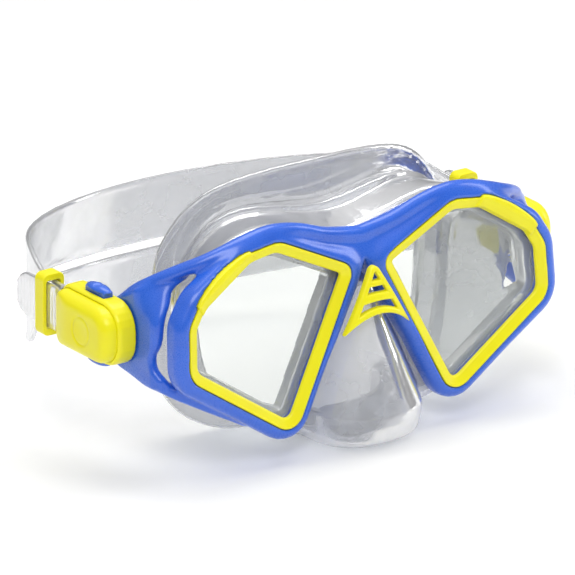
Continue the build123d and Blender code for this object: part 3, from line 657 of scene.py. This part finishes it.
def skirt_field(x, y, z):
    """Clear skirt: tapering wall, nose pocket, lip notch, eye tubes, face flange with a bead, a rib."""
    flat = x[:, 0, :], z[:, 0, :]
    front_wall = outline_distance(*flat, FRONT_WALL)[:, None, :]
    rear_wall = outline_distance(*flat, REAR_WALL)[:, None, :]
    edge = outline_distance(*flat, FLANGE_EDGE)[:, None, :]
    d, v = drawing_to_tilted(y, z)
    front_y = 6.6 + 0.07 * z
    t = np.clip((y - front_y) / (46 - front_y), 0, 1.1)
    wall = front_wall * (1 - t) + rear_wall * t
    body = rounded(wall, d + 10.3, 4)
    width = np.interp(z, NOSE_HEIGHTS, NOSE_HALF_WIDTHS)
    depth = NOSE_REAR - np.interp(z, NOSE_FRONT_HEIGHTS, NOSE_FRONTS)
    across, ahead = np.abs(x / width), np.abs(np.minimum(y - NOSE_REAR, 0) / depth)
    q = (across ** NOSE_SQUARENESS + ahead ** NOSE_SQUARENESS) ** (1 / NOSE_SQUARENESS)
    nose = (q - 1) * np.minimum(width, depth) * 0.9
    nose = rounded(nose, slab(z, SKIRT_FOOT, 60), 4)
    nose = both(nose, y - NOSE_REAR - 2)
    outer = union(body, nose, 5)
    face = y - (FACE_Y + FACE_RADIUS - np.sqrt(FACE_RADIUS ** 2 - x ** 2))
    shell = np.maximum(outer, -(outer + WALL_THICKNESS))
    shell = both(shell, face)
    inner_edge = -(rear_wall + 6)
    flange = rounded(np.maximum(edge, inner_edge), slab(face, -2.3, 0), 1.0)
    bead = np.sqrt((edge + 1.1) ** 2 + (face + 1.4) ** 2) - 1.5
    rib = np.sqrt((wall - 0.2) ** 2 + (face + 8.5) ** 2) - 1.7
    shell = union(shell, flange, 3)
    shell = union(shell, bead, 1)
    shell = union(shell, rib, 1)
    notch = (np.sqrt((x / 26) ** 2 + (np.minimum(y - 40, 0) / 25) ** 2) - 1) * 25
    lip = rounded(np.abs(notch - LIP_WIDTH) - LIP_WIDTH, slab(z, SKIRT_FOOT, LIP_TOP), 1.0)
    lip = np.maximum(lip, face)
    shell = cut(shell, np.maximum(notch, z - LIP_TOP), 1)
    shell = union(shell, lip, 1.5)
    eye = outline_distance(np.abs(x), v, EYE_COARSE)
    tube = np.maximum(np.maximum(eye + 4.4, -(eye + 6.0)), slab(d, -13, -6.7))
    seal = np.maximum(np.maximum(eye + 2.4, -(eye + 6.0)), slab(d, -8.4, -6.7))
    shell = cut(shell, np.maximum(eye + 6.0, -d - 17), 0.6)
    shell = union(shell, np.minimum(tube, seal))
    return both(shell, SKIRT_FOOT - z)


def make_skirt():
    (x, y, z), low, step = grid((0, -18, -4), (79.2, 48, 98), 0.8)
    whole, low = mirrored(skirt_field(x, y, z), low, step)
    piece = solid("skirt_shell", whole, low, step, SILICONE, smooth=3)
    stands_for(piece, "frame", "clear_silicone", "skirt")


# ---------------------------------------------------------------- strap
LOOP_Y, LOOP_HALF_X, LOOP_REACH = 62.0, 90.2, 81.7  # the half ellipse round the back of the head
RUN_X, RETURN_X = 90.2, 95.1  # the runs before and after the roller
TAIL_X, TAIL_END_Y, TAIL_HALF_WIDTH = 93.2, 87.0, 8.7
BEND_START_Y, BEND_LENGTH = 55.0, 7.5  # where the tail bends in from the return run to the keeper
HALF_THICKNESS, EDGE_BEAD = 0.66, 0.42
RIB_PITCH, RIB_HEIGHT, RIB_HALF_WIDTH = 1.9, 0.3, 6.6
STRAP_LOW, STRAP_HIGH, STRAP_STEP = 5.0, 68.0, 0.9  # heights that the band's field covers
REACH, THICKNESS_STEP = 2.1, 0.3  # how far the field goes to either side of the band's middle
# the band's side view and the slot that splits it, in (y, z)
BAND = rounded_outline(
    [
        (-60, 57.7), (76, 57.7), (94, 62.6), (170, 50.5),
        (170, 0.3), (92, 25.0), (78, 40.3), (-60, 40.3),
    ],
    [0, 30, 40, 0, 0, 14, 16, 0],
)
SLOT = rounded_outline(
    [(84, 48.3), (92, 46.6), (170, 22.1), (170, 19.1), (92, 43.6), (84, 46.2)],
    [0.6, 12, 0, 0, 12, 0.6],
)


def strap_route(spacing=0.55):
    """Stations along the strap's middle line, from the back of the head round the wearer's left side
    and the roller to the tail's end: distance, x, y, tangent, where the tail starts and the end."""
    route = []
    for k in range(400):
        a = math.pi / 2 * (1 - k / 400)
        route.append((LOOP_HALF_X * math.cos(a), LOOP_Y + LOOP_REACH * math.sin(a)))
    tail_index = len(route)
    route.append((RUN_X, LOOP_Y))
    radius = (RETURN_X - RUN_X) / 2
    for k in range(25):
        a = math.pi * (1 + k / 24)
        route.append((ROLLER_X + radius * math.cos(a), ROLLER_Y + radius * math.sin(a)))
    for k in range(25):
        t = k / 24
        ease = t * t * (3 - 2 * t)
        route.append((RETURN_X + (TAIL_X - RETURN_X) * ease, BEND_START_Y + BEND_LENGTH * t))
    route.append((TAIL_X, TAIL_END_Y))
    route = np.array(route)
    lengths = np.linalg.norm(np.diff(route, axis=0), axis=1)
    along = np.concatenate(([0], np.cumsum(lengths)))
    end = along[-1]
    stations = np.arange(0, end + 2 * spacing, spacing)
    x = np.interp(stations, along, route[:, 0])
    y = np.interp(stations, along, route[:, 1])
    past = stations > end
    y[past] = TAIL_END_Y + stations[past] - end
    tangent = np.stack((np.gradient(x), np.gradient(y)), 1)
    tangent /= np.linalg.norm(tangent, axis=1)[:, None]
    return stations, x, y, tangent, along[tail_index], end


def strap_field(s, y, z, levels, tail_start, end):
    """The strap laid flat: split band with a bead on its edges, then the ribbed tail."""
    in_loop = s < tail_start
    band = np.maximum(outline_distance(y, z, BAND), -outline_distance(y, z, SLOT))
    from_middle = np.abs(z - BUCKLE_Z)
    across = from_middle - TAIL_HALF_WIDTH + waist(y) * ~in_loop
    tail = rounded(across, s - end, 8)
    flat = np.where(in_loop, band, tail)
    bead = EDGE_BEAD * np.exp(-(((flat + 1.1) / 0.8) ** 2)) * in_loop
    half_thickness = HALF_THICKNESS + bead
    tooth = (s / RIB_PITCH) % 1.0
    ribbed = np.clip((s - tail_start) / 3, 0, 1) * (from_middle < RIB_HALF_WIDTH)
    rib = RIB_HEIGHT * np.clip(1.6 * np.minimum(tooth * 1.4, (1 - tooth) * 4), 0, 1) * ribbed
    outer = levels - (half_thickness + rib)[:, :, None]
    inner = -levels - half_thickness[:, :, None]
    return rounded(np.maximum(outer, inner), flat[:, :, None], 0.45)


def make_strap():
    stations, x, y, tangent, tail_start, end = strap_route()
    z = np.arange(STRAP_LOW, STRAP_HIGH, STRAP_STEP)
    levels = np.arange(-REACH, REACH + 0.01, THICKNESS_STEP)[None, None, :]
    s_grid, z_grid = np.meshgrid(stations, z, indexing="ij")
    y_grid = np.repeat(y[:, None], len(z), 1)
    field = strap_field(s_grid, y_grid, z_grid, levels, tail_start, end)
    step = np.array((1.0, STRAP_STEP, THICKNESS_STEP))
    whole, low = mirrored(field, np.array((0.0, STRAP_LOW, -REACH)), step)
    last = len(stations) - 1.001
    centre = np.stack((x, y), 1)

    def places(points):
        """Bends flat points (station number, height, level) round the strap's route."""
        at = np.clip(np.abs(points[:, 0]), 0, last)
        base = at.astype(int)
        part = (at - base)[:, None]
        middle = centre[base] * (1 - part) + centre[base + 1] * part
        heading = tangent[base] * (1 - part) + tangent[base + 1] * part
        heading /= np.linalg.norm(heading, axis=1)[:, None]
        normal = np.stack((heading[:, 1], -heading[:, 0]), 1)
        spot = middle + normal * points[:, 2:3]
        spot[:, 0] *= np.where(points[:, 0] < 0, -1, 1)
        return to_row(np.stack((spot[:, 0], spot[:, 1], points[:, 1]), 1))

    piece = solid("head_strap", whole, low, step, SILICONE, places)
    stands_for(piece, "buckle_left", "clear_silicone", "strap")


make_frame()
make_bezels()
make_grille()
make_buckles()
make_skirt()
make_strap()


# ---------------------------------------------------------------- floor, lights and camera
def floor():
    """A plain pale floor that reaches far past the mask on every side."""
    half, reach = 6.0, 9.0
    corners = [(-half, -reach, 0), (half, -reach, 0), (half, reach, 0), (-half, reach, 0)]
    mesh = bpy.data.meshes.new("floor")
    mesh.from_pydata(corners, [], [(0, 1, 2, 3)])
    plane = bpy.data.objects.new("floor", mesh)
    bpy.context.scene.collection.objects.link(plane)
    material, tree, output = new_material("floor_paper")
    shader = tree.nodes.new("ShaderNodeBsdfPrincipled")
    grain = noise(tree, 40, 3)
    tree.links.new(
        ramp(tree, grain.outputs["Fac"], (0.92, 0.92, 0.92), (0.94, 0.94, 0.94)),
        shader.inputs["Base Color"],
    )
    shader.inputs["Roughness"].default_value = 0.9
    tree.links.new(shader.outputs["BSDF"], output.inputs["Surface"])
    mesh.materials.append(material)


def area_lamp(name, place, size, power, aim):
    """A rectangular soft lamp turned to a point."""
    lamp = bpy.data.lights.new(name, "AREA")
    lamp.shape = "RECTANGLE"
    lamp.size, lamp.size_y = size
    lamp.energy = power
    holder = bpy.data.objects.new(name, lamp)
    holder.location = place
    holder.rotation_mode = "QUATERNION"
    holder.rotation_quaternion = (Vector(place) - aim).to_track_quat("Z", "Y")
    bpy.context.scene.collection.objects.link(holder)


def studio(middle):
    """A soft tent, bright overhead and dim at the horizon, with three soft lamps."""
    world = bpy.data.worlds.new("studio")
    world.use_nodes = True
    tree = world.node_tree
    coords = tree.nodes.new("ShaderNodeTexCoord")
    split = tree.nodes.new("ShaderNodeSeparateXYZ")
    tree.links.new(coords.outputs["Generated"], split.inputs["Vector"])
    tent = ramp(tree, split.outputs["Z"], 0.22, 0.95, 0.0, 0.8)
    tree.links.new(tent, tree.nodes["Background"].inputs["Color"])
    tree.nodes["Background"].inputs["Strength"].default_value = 0.75
    bpy.context.scene.world = world
    area_lamp("key", (-0.5, -0.75, 0.95), (0.6, 0.6), 5.0, middle)
    area_lamp("top", (0.15, 0.2, 1.1), (0.9, 0.7), 6.0, middle)
    area_lamp("side", (0.95, -0.35, 0.45), (0.3, 0.7), 2.5, middle)


AZIMUTH, ELEVATION = math.radians(-35.0), math.radians(20.5)
SHOWN_WIDTH = 0.2075812  # metres across the view at the mask
LENS_MM = 900
# what the view centres on, from the CAD box's low corner
LOOK_BEHIND, LOOK_ABOVE = 67.3 * MM, 43.05 * MM


def camera():
    """A very long lens to the wearer's right of the mask and a little above it."""
    data = bpy.data.cameras.new("camera")
    data.lens = LENS_MM
    data.clip_start, data.clip_end = 0.5, 40
    holder = bpy.data.objects.new("camera", data)
    low, high = CAD_BOX
    look_at = Vector(((low.x + high.x) / 2, low.y + LOOK_BEHIND, low.z + LOOK_ABOVE))
    back = Vector((
        math.sin(AZIMUTH) * math.cos(ELEVATION),
        -math.cos(AZIMUTH) * math.cos(ELEVATION),
        math.sin(ELEVATION),
    ))
    holder.location = look_at + back * (SHOWN_WIDTH * LENS_MM / data.sensor_width)
    holder.rotation_mode = "QUATERNION"
    holder.rotation_quaternion = (-back).to_track_quat("-Z", "Y")
    bpy.context.scene.collection.objects.link(holder)
    bpy.context.scene.camera = holder


floor()
studio((CAD_BOX[0] + CAD_BOX[1]) / 2)
camera()
bpy.context.scene.view_settings.view_transform = "Standard"
